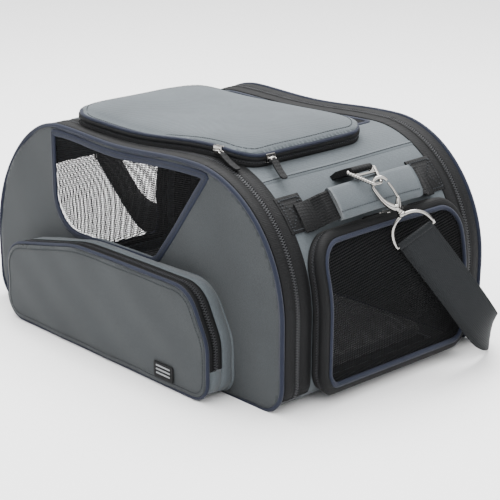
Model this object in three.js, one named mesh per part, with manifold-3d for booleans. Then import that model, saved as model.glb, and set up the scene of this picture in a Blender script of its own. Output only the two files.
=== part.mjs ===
// Soft-sided pet carrier bag, millimetres, +Z up, +X along the length, -Y the pocket side.
import * as THREE from 'three';
import { mergeVertices } from 'three/addons/utils/BufferGeometryUtils.js';
import Module from 'manifold-3d';

const wasm = await Module();
wasm.setup();

// ---- driving dimensions ----
const HALF_LENGTH = 232;
const HEIGHT = 222;
const TOP_SAG = 4.5;
const BASE_RADIUS = 28;
const RIGHT_ARC = [119, 136];
const LEFT_ARC = [131, 157];
const FACE_Y = 141;
const SHELL_Y = 104.9;
const WALL = 3;
const GAP = 0.3;
const ZIP_FOOT_Z = 16;
const FLAP = { left: -122, right: 148, front: -112, rear: 60, radius: 28 };
const DOOR = { front: -101, rear: 108, bottom: 14, top: 160, radius: 32 };
const POCKET = { back: -143, split: -165, face: -176 };
const STRAP = { width: 38, thick: 2.4 };
const SNAP = { ringWire: 1.6, hookWire: 1.8, gateWire: 1.4, loopRadius: 7.5, wireEye: 1.7 };

const group = new THREE.Group();

// ---- materials ----
const LOOKS = {
  polyester: [0x6b747b, 0.9, 0],
  band: [0x16171a, 0.85, 0],
  net: [0x101113, 0.9, 0],
  strap: [0x2b2e31, 0.85, 0],
  nickel: [0xc4c6c8, 0.25, 1],
  board: [0x3a3d40, 0.8, 0],
  fleece: [0x8d9296, 1, 0],
};

function put(name, look, geometry) {
  const [color, roughness, metalness] = LOOKS[look];
  const mesh = new THREE.Mesh(geometry, new THREE.MeshStandardMaterial({ color, roughness, metalness }));
  mesh.name = name;
  group.add(mesh);
}

// ---- solids ----
function solid(geometry) {
  const bare = geometry.clone();
  bare.deleteAttribute('normal');
  bare.deleteAttribute('uv');
  const { array } = bare.attributes.position;
  for (let i = 0; i < array.length; i += 1) array[i] = Math.round(array[i] * 1e4) / 1e4;
  const welded = mergeVertices(bare, 1e-5);
  return new wasm.Manifold(new wasm.Mesh({
    numProp: 3,
    vertProperties: new Float32Array(welded.attributes.position.array),
    triVerts: new Uint32Array(welded.index.array),
  }));
}

function surface(body) {
  const mesh = body.getMesh();
  const geometry = new THREE.BufferGeometry();
  geometry.setAttribute('position', new THREE.BufferAttribute(new Float32Array(mesh.vertProperties), 3));
  geometry.setIndex(new THREE.BufferAttribute(new Uint32Array(mesh.triVerts), 1));
  geometry.computeVertexNormals();
  return geometry;
}

function wound(outline, clockwise) {
  return THREE.ShapeUtils.isClockWise(outline) === clockwise ? outline : [...outline].reverse();
}

function extrude(outline, holes, depth) {
  const shape = new THREE.Shape(wound(outline, false));
  for (const hole of holes) shape.holes.push(new THREE.Path(wound(hole, true)));
  return new THREE.ExtrudeGeometry(shape, { depth, bevelEnabled: false, curveSegments: 8 });
}

function alongBasis(geometry, x, y, z, origin) {
  const matrix = new THREE.Matrix4().makeBasis(x, y, z);
  matrix.setPosition(origin);
  return geometry.applyMatrix4(matrix);
}

const X = new THREE.Vector3(1, 0, 0);
const Y = new THREE.Vector3(0, 1, 0);
const Z = new THREE.Vector3(0, 0, 1);

// Outline in x,z run along Y.
function prismY(outline, y0, y1, holes = []) {
  return alongBasis(extrude(outline, holes, y1 - y0), X, Z, Y.clone().negate(), new THREE.Vector3(0, y1, 0));
}

// Outline in y,z run along X.
function prismX(outline, x0, x1, holes = []) {
  return alongBasis(extrude(outline, holes, x1 - x0), Y, Z, X, new THREE.Vector3(x0, 0, 0));
}

// Outline in x,y run along Z.
function prismZ(outline, z0, z1, holes = []) {
  return alongBasis(extrude(outline, holes, z1 - z0), X, Y, Z, new THREE.Vector3(0, 0, z0));
}

function box(x0, x1, y0, y1, z0, z1) {
  const geometry = new THREE.BoxGeometry(x1 - x0, y1 - y0, z1 - z0);
  return geometry.translate((x0 + x1) / 2, (y0 + y1) / 2, (z0 + z1) / 2);
}

// Closed outline through corners [a, b, radius], each corner rounded.
function rounded(corners, steps = 6) {
  const points = [];
  const count = corners.length;
  corners.forEach(([a, b, radius], i) => {
    const here = new THREE.Vector2(a, b);
    const [pa, pb] = corners[(i + count - 1) % count];
    const [na, nb] = corners[(i + 1) % count];
    const back = new THREE.Vector2(pa, pb).sub(here).normalize();
    const ahead = new THREE.Vector2(na, nb).sub(here).normalize();
    const half = Math.acos(THREE.MathUtils.clamp(back.dot(ahead), -1, 1)) / 2;
    const reach = radius / Math.tan(half);
    const start = here.clone().addScaledVector(back, reach);
    const end = here.clone().addScaledVector(ahead, reach);
    const inward = back.clone().add(ahead).normalize();
    const centre = here.clone().addScaledVector(inward, radius / Math.sin(half));
    const a0 = Math.atan2(start.y - centre.y, start.x - centre.x);
    let sweep = Math.atan2(end.y - centre.y, end.x - centre.x) - a0;
    if (sweep > Math.PI) sweep -= 2 * Math.PI;
    if (sweep < -Math.PI) sweep += 2 * Math.PI;
    for (let k = 0; k <= steps; k += 1) {
      const angle = a0 + (sweep * k) / steps;
      points.push(new THREE.Vector2(centre.x + radius * Math.cos(angle), centre.y + radius * Math.sin(angle)));
    }
  });
  return points;
}

// ---- end profile of the bag, a D lying on its flat side, offset outward by "off" ----
function profile(off) {
  const points = [];
  const add = (x, z, nx, nz) => {
    const length = Math.hypot(nx, nz);
    points.push({ x: x + (nx / length) * off, z: z + (nz / length) * off, base: z });
  };
  const quarter = (cx, cz, rx, rz, from, steps) => {
    for (let k = 0; k <= steps; k += 1) {
      const angle = from + (Math.PI / 2) * (k / steps);
      const c = Math.cos(angle);
      const s = Math.sin(angle);
      add(cx + rx * c, cz + rz * s, c / rx, s / rz);
    }
  };
  const [rrx, rrz] = RIGHT_ARC;
  const [lrx, lrz] = LEFT_ARC;
  quarter(HALF_LENGTH - BASE_RADIUS, BASE_RADIUS, BASE_RADIUS, BASE_RADIUS, -Math.PI / 2, 5);
  quarter(HALF_LENGTH - rrx, HEIGHT - rrz, rrx, rrz, 0, 14);
  const from = HALF_LENGTH - rrx;
  const to = -HALF_LENGTH + lrx;
  for (let k = 1; k < 8; k += 1) {
    const u = k / 8;
    const slope = (2 * Math.PI * TOP_SAG * Math.sin(Math.PI * u) * Math.cos(Math.PI * u)) / (to - from);
    add(from + (to - from) * u, HEIGHT - TOP_SAG * Math.sin(Math.PI * u) ** 2, slope, 1);
  }
  quarter(-HALF_LENGTH + lrx, HEIGHT - lrz, lrx, lrz, Math.PI / 2, 14);
  quarter(-HALF_LENGTH + BASE_RADIUS, BASE_RADIUS, BASE_RADIUS, BASE_RADIUS, Math.PI, 5);
  return points;
}

const dee = (off) => profile(off).map((p) => new THREE.Vector2(p.x, p.z));

function deeBlock(off, y0, y1) {
  return solid(prismY(dee(off), y0, y1));
}

// Band between two offsets of the profile, everywhere above the foot height.
function arch(outer, inner, y0, y1, foot = ZIP_FOOT_Z) {
  const keep = (off) => profile(off).filter((p) => p.base >= foot).map((p) => new THREE.Vector2(p.x, p.z));
  return solid(prismY([...keep(outer), ...keep(inner).reverse()], y0, y1));
}

function slab(inner, outer, y0, y1) {
  return deeBlock(outer, y0, y1).subtract(deeBlock(inner, y0 - 1, y1 + 1));
}

// ---- outlines ----
function flapOutline(inset) {
  const { left, right, front, rear, radius } = FLAP;
  const r = Math.max(radius - inset, 4);
  return rounded([
    [left + inset, front + inset, r + 12],
    [right - inset, front + inset, r],
    [right - inset, rear - inset, r],
    [left + inset, rear - inset, r],
  ]);
}

function doorOutline(inset) {
  const { front, rear, bottom, top, radius } = DOOR;
  const r = Math.max(radius - inset, 4);
  return rounded([
    [front + inset, bottom + inset, r * 0.6],
    [rear - inset, bottom + inset, r * 0.6],
    [rear - inset, top - inset, r],
    [front + inset, top - inset, r],
  ]);
}

function windowOutline(inset) {
  return rounded([
    [-121 + inset, 106 + inset, 46],
    [58 - 0.52 * inset, 108 + inset, 20],
    [149 - 1.22 * inset, 240, 3],
    [-119 + inset, 240, 3],
  ]);
}

function pocketOutline(inset) {
  const e = inset;
  return rounded([
    [-170 + e, 3 + e, 24],
    [167 - e, 3 + e, 20],
    [167 - e, 62, 45],
    [141 - e, 112 - e, 34],
    [-40, 112 - e, 150],
    [-164 + e, 86 - e, 32],
  ]);
}

// ---- shell and its zip tapes ----
function shell() {
  const top = HEIGHT + 20;
  let body = slab(-WALL, 0, -SHELL_Y, SHELL_Y);
  body = body.add(slab(-WALL, 0, -130, 130).intersect(solid(box(-300, 300, -130, 130, -1, ZIP_FOOT_Z - 0.6))));
  const cut = (geometry) => {
    body = body.subtract(solid(geometry));
  };
  cut(prismZ(flapOutline(11), 180, top));
  cut(box(-104, 110, 74, 98, 180, top));
  cut(prismX(doorOutline(11), 190, 240));
  cut(prismX(doorOutline(11), -240, -190));
  put('gusset_shell', 'polyester', surface(body));
}

function topMesh() {
  const window = solid(box(-104 + GAP, 110 - GAP, 74, 98, 180, 240));
  const strip = slab(-2.4, -1.2, 74 + GAP, 98 - GAP).intersect(window);
  put('top_mesh', 'net', surface(strip));
}

function zipHalf(name, side, near, far, bead) {
  const [y0, y1] = side < 0 ? [-far, -near] : [near, far];
  const [b0, b1] = side < 0 ? [-bead[1], -bead[0]] : bead;
  const body = arch(0, -WALL, y0, y1).add(arch(1.8, -1, b0, b1));
  put(name, 'band', surface(body));
}

function basePieces() {
  put('base_board', 'board', box(-198, 198, -100, 100, WALL + GAP, WALL + GAP + 4));
  const pad = rounded([[-196, -98, 18], [196, -98, 18], [196, 98, 18], [-196, 98, 18]]);
  put('cushion', 'fleece', prismZ(pad, WALL + 2 * GAP + 4, 22));
}

// ---- side panels ----
function sidePanel(prefix, side) {
  const y = (a, b) => (side < 0 ? [-b, -a] : [a, b]);
  const outer = solid(prismY(dee(-0.5), ...y(FACE_Y - 4, FACE_Y)));
  const rim = solid(prismY(dee(0.5), ...y(FACE_Y - 3.8, FACE_Y + 1.6), [dee(-5)]));
  const hole = solid(prismY(windowOutline(0), -200, 200)).intersect(deeBlock(-7, -200, 200));
  const floor = solid(box(-300, 300, -300, 300, -9, 0));
  put(`${prefix}_panel`, 'polyester', surface(outer.add(rim).subtract(hole).subtract(floor)));
  const net = solid(prismY(windowOutline(GAP), ...y(FACE_Y - 2.4, FACE_Y - 1.4)));
  put(`${prefix}_window_mesh`, 'net', surface(net.intersect(deeBlock(-7 - GAP, -200, 200))));
  zipHalf(`${prefix}_zip_moving`, side, 116.8, FACE_Y - 4.3, [116.8, 122]);
  zipHalf(`${prefix}_zip_fixed`, side, SHELL_Y + GAP, 116.4, [112.4, 116.4]);
}

// ---- front pocket ----
function pocket() {
  const { back, split, face } = POCKET;
  const wall = solid(prismY(pocketOutline(0), split + GAP, back, [pocketOutline(WALL)]));
  put('pocket_gusset', 'polyester', surface(wall));
  const ring = solid(prismY(pocketOutline(0), face + 4.3, split, [pocketOutline(WALL)]));
  const upper = ring.intersect(solid(box(-200, 200, -200, -100, 34, 130)));
  put('pocket_zip_moving', 'band', surface(upper));
  put('pocket_front', 'polyester', prismY(pocketOutline(0), face, face + 4));
  put('label', 'band', box(92, 121, face - GAP - 1.2, face - GAP, 9, 26));
  put('pocket_slider', 'nickel', box(-177, -170.6, split - 4, split + 8, 58, 70));
  const tab = rounded([[-1.3, -30, 1], [1.3, -30, 1], [1.3, 0, 0.4], [-1.3, 0, 0.4]], 3);
  const top = new THREE.Vector3(-174, split + 6, 56.2);
  const pull = alongBasis(extrude(tab, [], 8), X, Z, Y.clone().negate(), top);
  put('pocket_pull', 'band', pull);
}

// ---- top flap ----
function flap() {
  const ring = (inset, depth) => solid(prismZ(flapOutline(inset), 150, 300, [flapOutline(inset + depth)]));
  put('flap_zip_fixed', 'band', surface(ring(0, 9).intersect(slab(GAP, 5, -140, 100))));
  put('flap_zip_moving', 'band', surface(ring(0, 9).intersect(slab(5.3, 10.6, -140, 100))));
  const skin = solid(prismZ(flapOutline(9 + GAP), 150, 300)).intersect(slab(6, 9.6, -140, 100));
  const crown = new THREE.ExtrudeGeometry(new THREE.Shape(flapOutline(40)), {
    depth: 5, bevelEnabled: true, bevelThickness: 8, bevelSize: 26, bevelSegments: 4, curveSegments: 8,
  });
  const dome = solid(crown.translate(0, 0, 231)).intersect(solid(box(-300, 300, -300, 300, 226.5, 260)));
  put('flap_panel', 'polyester', surface(skin.add(dome)));
}

// Zip slider block and the webbing tab hanging from it, "at" the slider centre, tab along "out".
function sliderAndPull(name, size, at, start, out, up, length) {
  const across = new THREE.Vector3().crossVectors(up, out).normalize();
  put(`${name}_slider`, 'nickel', box(
    at.x - size[0] / 2, at.x + size[0] / 2,
    at.y - size[1] / 2, at.y + size[1] / 2,
    at.z - size[2] / 2, at.z + size[2] / 2,
  ));
  const tab = rounded([[0, -3.5, 1], [length, -3.5, 3], [length, 3.5, 3], [0, 3.5, 1]], 3);
  const height = new THREE.Vector3().crossVectors(out, across).normalize();
  put(`${name}_pull`, 'band', alongBasis(extrude(tab, [], 2.2), out, across, height, start));
}

// ---- end doors ----
const ends = [
  { prefix: 'right', s: 1, arc: RIGHT_ARC },
  { prefix: 'left', s: -1, arc: LEFT_ARC },
];

function endDoor({ prefix, s }) {
  const reach = s > 0 ? [120, 300] : [-300, -120];
  const ring = (inset, depth) => solid(prismX(doorOutline(inset), ...reach, [doorOutline(inset + depth)]));
  const layer = (inner, outer) => slab(inner, outer, -110, 115);
  put(`${prefix}_door_zip_fixed`, 'band', surface(ring(0, 10).intersect(layer(GAP, 7.2))));
  const rim = ring(0, 9).intersect(layer(7.5, 16.5));
  put(`${prefix}_door_rim`, 'band', surface(rim));
  const net = solid(prismX(doorOutline(9 + GAP), ...reach)).intersect(layer(12.2, 13.4));
  put(`${prefix}_door_mesh`, 'net', surface(net));
}

// Point on the end wall at height z, with the outward normal there.
function wallAt({ s, arc }, z) {
  const [rx, rz] = arc;
  const sine = (z - (HEIGHT - rz)) / rz;
  const cosine = Math.sqrt(1 - sine * sine);
  const normal = new THREE.Vector3((s * cosine) / rx, 0, sine / rz).normalize();
  return { point: new THREE.Vector3(s * (HALF_LENGTH - rx + rx * cosine), 0, z), normal };
}

// ---- grab handle: two sewn pads, a webbing bridge and a padded sleeve ----
function grabHandle(end) {
  const { prefix, s } = end;
  const { point, normal } = wallAt(end, 176);
  const along = Y.clone().multiplyScalar(s);
  const down = new THREE.Vector3().crossVectors(along, normal);
  const centred = (geometry, width) => alongBasis(
    geometry, along, normal, down, point.clone().addScaledVector(down, -width / 2),
  );
  const pads = [['front', -104.5, -78], ['rear', 74, 104.5]];
  for (const [where, y0, y1] of pads) {
    const block = solid(box(s > 0 ? 150 : -260, s > 0 ? 260 : -150, y0, y1, 167, 194));
    put(`${prefix}_anchor_${where}`, 'band', surface(block.intersect(slab(GAP, 2.6, -108, 108))));
  }
  const bridge = [
    [-88, 5.2], [-79, 5.2], [-66, 17], [60, 17], [73, 5.2], [82, 5.2],
    [82, 8], [74.4, 8], [61.2, 20], [-67.2, 20], [-80.4, 8], [-88, 8],
  ].map(([a, b]) => new THREE.Vector2(s * a, b));
  put(`${prefix}_handle_web`, 'band', centred(extrude(bridge, [], 26), 26));
  const outer = rounded([[12.6, -17, 4], [24.4, -17, 4], [24.4, 17, 4], [12.6, 17, 4]], 3);
  const inner = rounded([[16.6, -13.4, 0.2], [20.4, -13.4, 0.2], [20.4, 13.4, 0.2], [16.6, 13.4, 0.2]], 1);
  const start = point.clone().addScaledVector(Y, s > 0 ? -58 : 48);
  const sleeve = alongBasis(extrude(outer, [inner], 106), normal, down, along, start);
  put(`${prefix}_handle_sleeve`, 'polyester', sleeve);
}

// Straight rod between two points.
function rod(from, to, radius, sides = 8) {
  const span = to.clone().sub(from);
  const geometry = new THREE.CylinderGeometry(radius, radius, span.length(), sides);
  geometry.applyQuaternion(new THREE.Quaternion().setFromUnitVectors(Y, span.clone().normalize()));
  const middle = from.clone().add(to).multiplyScalar(0.5);
  return solid(geometry.translate(middle.x, middle.y, middle.z));
}

function ball(at, radius) {
  return solid(new THREE.SphereGeometry(radius * 1.05, 8, 5).translate(at.x, at.y, at.z));
}

// Straight rods joined by balls at their corners.
function bent(points, radius) {
  let body = ball(points[0], radius);
  for (let i = 1; i < points.length; i += 1) {
    body = body.add(rod(points[i - 1], points[i], radius)).add(ball(points[i], radius));
  }
  return body;
}

// ---- strap loop, triangular ring, snap hook and strap eye at one end ----
function strapEnd(end) {
  const { prefix, s } = end;
  const shift = s > 0 ? 0 : wallAt(end, 198).point.x + wallAt(ends[0], 198).point.x;
  const at = (x, y, z) => new THREE.Vector3(s * x + shift, y, z);

  const along = new THREE.Vector3(s * 0.924, 0, 0.383);
  const side = new THREE.Vector3(-s * 0.383, 0, 0.924);
  const flat = (corners) => rounded(corners, 4).map((p) => {
    const spot = at(184, 0, 201).addScaledVector(along, p.x).addScaledVector(side, p.y);
    return new THREE.Vector2(spot.x, spot.z);
  });
  const rim = flat([[-4, -4.4, 3], [26.5, -4.4, 4], [26.5, 4.4, 4], [-4, 4.4, 3]]);
  const eye = flat([[-0.5, -2.4, 2], [23.5, -2.4, 2], [23.5, 2.4, 2], [-0.5, 2.4, 2]]);
  const loop = solid(prismY(rim, -27, 1, [eye])).subtract(deeBlock(GAP, -40, 20));
  put(`${prefix}_strap_loop`, 'band', surface(loop));

  const reach = new THREE.Vector3(s * 0.93, 0, -0.368);
  const edge = SNAP.ringWire / 2;
  const trapezoid = (e, r) => rounded([
    [-19 - 1.8 * e, -e, r], [19 + 1.8 * e, -e, r], [5 + 0.6 * e, 26 + e, r], [-5 - 0.6 * e, 26 + e, r],
  ], 3);
  const shape = new THREE.Shape(trapezoid(edge, 2.4));
  shape.holes.push(new THREE.Path(trapezoid(-edge, 1.2).reverse()));
  const ring = new THREE.ExtrudeGeometry(shape, {
    depth: 2 * edge, bevelEnabled: true, bevelThickness: edge, bevelSize: edge, bevelSegments: 1,
  }).translate(0, 0, -edge);
  const ringAxis = new THREE.Vector3().crossVectors(Y, reach).normalize();
  const seat = at(203.7, -13, 209.2);
  put(`${prefix}_ring`, 'nickel', alongBasis(ring, Y, reach.clone().normalize(), ringAxis, seat));

  const origin = at(227.4, -10.6, 199.3);
  const axis = new THREE.Vector3(s * 0.482, 0.357, -0.8).normalize();
  const wide = new THREE.Vector3(-s * 0.315, -0.781, -0.539);
  wide.addScaledVector(axis, -wide.dot(axis)).normalize();
  const hookAt = (a, b) => origin.clone().addScaledVector(axis, a).addScaledVector(wide, b);
  const r = SNAP.loopRadius;
  const outline = [];
  for (let k = 0; k <= 5; k += 1) {
    const angle = (Math.PI * (k - 2.5)) / 5;
    outline.push(hookAt(2 - r * Math.cos(angle), r * Math.sin(angle)));
  }
  outline.push(hookAt(24, r), hookAt(29.5, 2.4), hookAt(29.5, -2.4), hookAt(25.6, -r * 0.72));
  const neck = rod(hookAt(28, 0), hookAt(33, 0), 3);
  put(`${prefix}_hook`, 'nickel', surface(bent(outline, SNAP.hookWire).add(neck)));
  put(`${prefix}_hook_gate`, 'nickel', surface(rod(hookAt(4.4, -r), hookAt(22.4, -r), SNAP.gateWire)));

  const low = (x, y, z) => new THREE.Vector3(s * x + 0.2 * shift, y, z);
  const centre = low(252, 16, 148);
  const drop = centre.clone().sub(hookAt(38, 0));
  const depth = drop.length();
  drop.normalize();
  const span = new THREE.Vector3(s * 0.437, 0.725, 0.524);
  span.addScaledVector(drop, -span.dot(drop)).normalize();
  const arc = [];
  for (let k = 0; k <= 6; k += 1) {
    const angle = (Math.PI * k) / 6;
    const up = centre.clone().addScaledVector(drop, -depth * Math.sin(angle));
    arc.push(up.addScaledVector(span, 21.5 * Math.cos(angle)));
  }
  const eyeWire = bent([...arc, arc[0]], SNAP.wireEye).add(rod(hookAt(34.2, 0), hookAt(39, 0), 4.2));
  put(`${prefix}_strap_eye`, 'nickel', surface(eyeWire));

  const run = low(279, 90, 46).sub(centre);
  const length = run.length();
  run.normalize();
  const across = span.clone().addScaledVector(run, -span.dot(run)).normalize();
  const face = new THREE.Vector3().crossVectors(run, across);
  const webbing = new THREE.BoxGeometry(length - 3, STRAP.width, STRAP.thick);
  const middle = centre.clone().addScaledVector(run, length / 2 + 1.5);
  put(`${prefix}_strap_drop`, 'strap', alongBasis(webbing, run, across, face, middle));
}

// ---- shoulder strap standing on edge behind the bag ----
function strapRear() {
  const half = STRAP.thick / 2;
  const bends = [
    [276, 104], [262, 130], [236, 152], [150, 170], [0, 176],
    [-150, 170], [-236, 152], [-262, 130], [-276, 104],
  ];
  const path = new THREE.CatmullRomCurve3(bends.map(([x, y]) => new THREE.Vector3(x, y, 0)));
  const count = 32;
  const left = [];
  const right = [];
  for (let k = 0; k <= count; k += 1) {
    const p = path.getPointAt(k / count);
    const t = path.getTangentAt(k / count);
    left.push(new THREE.Vector2(p.x - t.y * half, p.y + t.x * half));
    right.push(new THREE.Vector2(p.x + t.y * half, p.y - t.x * half));
  }
  put('strap_rear', 'strap', prismZ([...left, ...right.reverse()], 2, 2 + STRAP.width));
}

function sliders() {
  const v = (x, y, z) => new THREE.Vector3(x, y, z);
  const fall = v(22, -6, -14).normalize();
  const droop = v(30, 0, -2).normalize();
  const front = Y.clone().negate();
  const rightWall = v(0.791, 0, 0.611);
  const leftWall = v(-0.8, 0, 0.6);
  sliderAndPull('flap_front', [12, 6, 8], v(116, -115.6, 229), v(123.4, -117.6, 227), droop, Z, 30);
  sliderAndPull('flap_side', [6, 12, 8], v(151.5, -80, 222), v(156.4, -81, 221), fall, Z, 28);
  sliderAndPull('right_door_a', [10, 12, 4.4], v(221.7, 8, 164.2), v(220.8, 0.6, 163.5), front, rightWall, 26);
  sliderAndPull('right_door_b', [10, 12, 4.4], v(221.7, 28, 164.2), v(220.8, 35.4, 163.5), Y, rightWall, 26);
  sliderAndPull('left_door', [10, 12, 4.4], v(-220.5, 8, 164.2), v(-219.6, 0.6, 163.5), front, leftWall, 26);
}

shell();
topMesh();

basePieces();
sidePanel('front', -1);
sidePanel('rear', 1);
pocket();
flap();
ends.forEach(endDoor);
ends.forEach(grabHandle);
ends.forEach(strapEnd);
strapRear();
sliders();

export default group;
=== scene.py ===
"""Looks for the soft pet carrier bag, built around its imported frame. Shapes are in millimetres."""

import math

import bpy
import numpy as np
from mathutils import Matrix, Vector
from mathutils.geometry import delaunay_2d_cdt


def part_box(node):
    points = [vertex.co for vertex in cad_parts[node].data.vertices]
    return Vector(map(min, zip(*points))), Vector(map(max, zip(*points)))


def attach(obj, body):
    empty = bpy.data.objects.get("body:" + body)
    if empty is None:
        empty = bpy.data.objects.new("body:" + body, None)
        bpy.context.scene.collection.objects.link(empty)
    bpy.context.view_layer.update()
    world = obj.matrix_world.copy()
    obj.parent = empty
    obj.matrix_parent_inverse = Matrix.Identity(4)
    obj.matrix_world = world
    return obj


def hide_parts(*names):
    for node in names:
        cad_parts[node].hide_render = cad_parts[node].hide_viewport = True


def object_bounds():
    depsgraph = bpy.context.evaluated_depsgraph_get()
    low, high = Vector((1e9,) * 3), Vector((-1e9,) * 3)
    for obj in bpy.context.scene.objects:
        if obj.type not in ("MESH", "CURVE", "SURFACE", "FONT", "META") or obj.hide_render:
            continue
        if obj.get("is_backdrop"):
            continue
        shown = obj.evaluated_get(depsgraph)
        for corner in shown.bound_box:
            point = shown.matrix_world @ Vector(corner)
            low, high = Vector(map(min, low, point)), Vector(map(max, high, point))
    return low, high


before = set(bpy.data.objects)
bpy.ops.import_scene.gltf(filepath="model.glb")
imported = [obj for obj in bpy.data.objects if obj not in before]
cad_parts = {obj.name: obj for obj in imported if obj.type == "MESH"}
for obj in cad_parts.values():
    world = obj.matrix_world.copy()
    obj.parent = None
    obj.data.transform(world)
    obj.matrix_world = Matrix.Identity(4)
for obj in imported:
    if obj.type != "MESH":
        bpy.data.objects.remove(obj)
cad_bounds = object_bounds()

MM = 0.001
HALF_LENGTH, HEIGHT, TOP_SAG, BASE_RADIUS = 232, 222, 4.5, 28
RIGHT_ARC, LEFT_ARC = (119, 136), (131, 157)
FACE_Y = 141
LEAN = 3.5
FLAP = dict(left=-122, right=148, front=-112, rear=60, radius=28)
DOOR = dict(front=-101, rear=108, bottom=14, top=160, radius=32)
POCKET_FACE, POCKET_BACK = -175, -142
ZIP_FOOT, POCKET_ZIP_FOOT = 14, 34
GUSSET_HALF, TOP_FROM = 112, 190
FLAP_SLANT = 18
HANDLE_HEIGHT = 176
STRIP_LOW, STRIP_HIGH = (-107, 74), (112, 99)
STRAP_RIGHT_END, STRAP_LEFT_END = (252, 16, 148), (-250, 16, 148)
FLOOR_GAP = 0.15
STRAP_WIDTH, STRAP_THICK = 40, 2.4
STITCH, STITCH_PITCH = (2.1, 0.5, 0.5), 3.2
TOOTH = (1.15, 2.5, 1.7)
BOX_FACES = [(0, 3, 2, 1), (4, 5, 6, 7), (0, 1, 5, 4), (1, 2, 6, 5), (2, 3, 7, 6), (3, 0, 4, 7)]

# Noise scales per metre: faded patches, fibres and surface grain. Woven cloth hardly shines.
PATCHES, FIBRES, GRAIN = 14, 700, 900
CLOTH_SHINE = 0.14

CAMERA_PLACE, CAMERA_AIM, CAMERA_ANGLE = (1.0742, -0.9511, 0.5369), (0.0230, 0.0109, 0.0801), 20.56
PAPER = (0.93, 0.93, 0.93)
LOW_SKY, HIGH_SKY, SKY_STRENGTH = (0.12, (0.05, 0.05, 0.055)), (0.8, (1, 1, 1)), 2.9
LAMPS = (
    ("key", (0.4, -1.5, 1.7), 1.2, 12),
    ("fill", (2.0, -0.2, 1.1), 1.4, 12),
    ("top", (-0.4, 0.4, 2.0), 1.6, 96),
)


def unit(v):
    v = np.array(v, float)
    return v / np.linalg.norm(v)


def box_mm(node):
    return [np.array(corner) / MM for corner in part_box(node)]


# ---- materials ----
def new_material(name, color, roughness, metallic=0.0, sheen=0.0):
    mat = bpy.data.materials.new(name)
    mat.use_nodes = True
    shader = mat.node_tree.nodes["Principled BSDF"]
    shader.inputs["Base Color"].default_value = (*color, 1)
    shader.inputs["Roughness"].default_value = roughness
    shader.inputs["Metallic"].default_value = metallic
    shader.inputs["Sheen Weight"].default_value = sheen
    return mat, mat.node_tree, shader


def wave(tree, coords, direction, scale, distortion=0.4):
    node = tree.nodes.new("ShaderNodeTexWave")
    node.bands_direction = direction
    node.inputs["Scale"].default_value = scale
    node.inputs["Distortion"].default_value = distortion
    tree.links.new(coords, node.inputs["Vector"])
    return node.outputs["Fac"]


def noise(tree, coords, scale, detail=3.0):
    node = tree.nodes.new("ShaderNodeTexNoise")
    node.inputs["Scale"].default_value = scale
    node.inputs["Detail"].default_value = detail
    tree.links.new(coords, node.inputs["Vector"])
    return node.outputs["Fac"]


def mixed(tree, a, b, kind="ADD"):
    node = tree.nodes.new("ShaderNodeMath")
    node.operation = kind
    tree.links.new(a, node.inputs[0])
    tree.links.new(b, node.inputs[1])
    return node.outputs[0]


def shade(tree, shader, source, color, spread):
    ramp = tree.nodes.new("ShaderNodeValToRGB")
    ramp.color_ramp.elements[0].color = (*[c * (1 - spread) for c in color], 1)
    ramp.color_ramp.elements[1].color = (*[min(1, c * (1 + spread)) for c in color], 1)
    tree.links.new(source, ramp.inputs[0])
    tree.links.new(ramp.outputs[0], shader.inputs["Base Color"])


def bump(tree, shader, source, strength, distance):
    node = tree.nodes.new("ShaderNodeBump")
    node.inputs["Strength"].default_value = strength
    node.inputs["Distance"].default_value = distance
    tree.links.new(source, node.inputs["Height"])
    tree.links.new(node.outputs[0], shader.inputs["Normal"])


def cloth_look(name, color, weave, rib, spread, roughness=0.85, sheen=0.25, depth=0.0004):
    mat, tree, shader = new_material(name, color, roughness, sheen=sheen)
    shader.inputs["Specular IOR Level"].default_value = CLOTH_SHINE
    coords = tree.nodes.new("ShaderNodeTexCoord").outputs["Object"]
    threads = mixed(tree, wave(tree, coords, weave, rib), wave(tree, coords, "Z", rib * 0.8), "MULTIPLY")
    grain = mixed(tree, threads, noise(tree, coords, GRAIN))
    fade = mixed(tree, noise(tree, coords, PATCHES), noise(tree, coords, FIBRES), "MULTIPLY")
    shade(tree, shader, fade, color, spread)
    bump(tree, shader, grain, 0.5, depth)
    return mat


def metal_look(name, color, roughness):
    mat, tree, shader = new_material(name, color, roughness, metallic=1.0)
    coords = tree.nodes.new("ShaderNodeTexCoord").outputs["Object"]
    shade(tree, shader, noise(tree, coords, 60), color, 0.12)
    bump(tree, shader, noise(tree, coords, 250), 0.12, 0.0003)
    return mat


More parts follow.
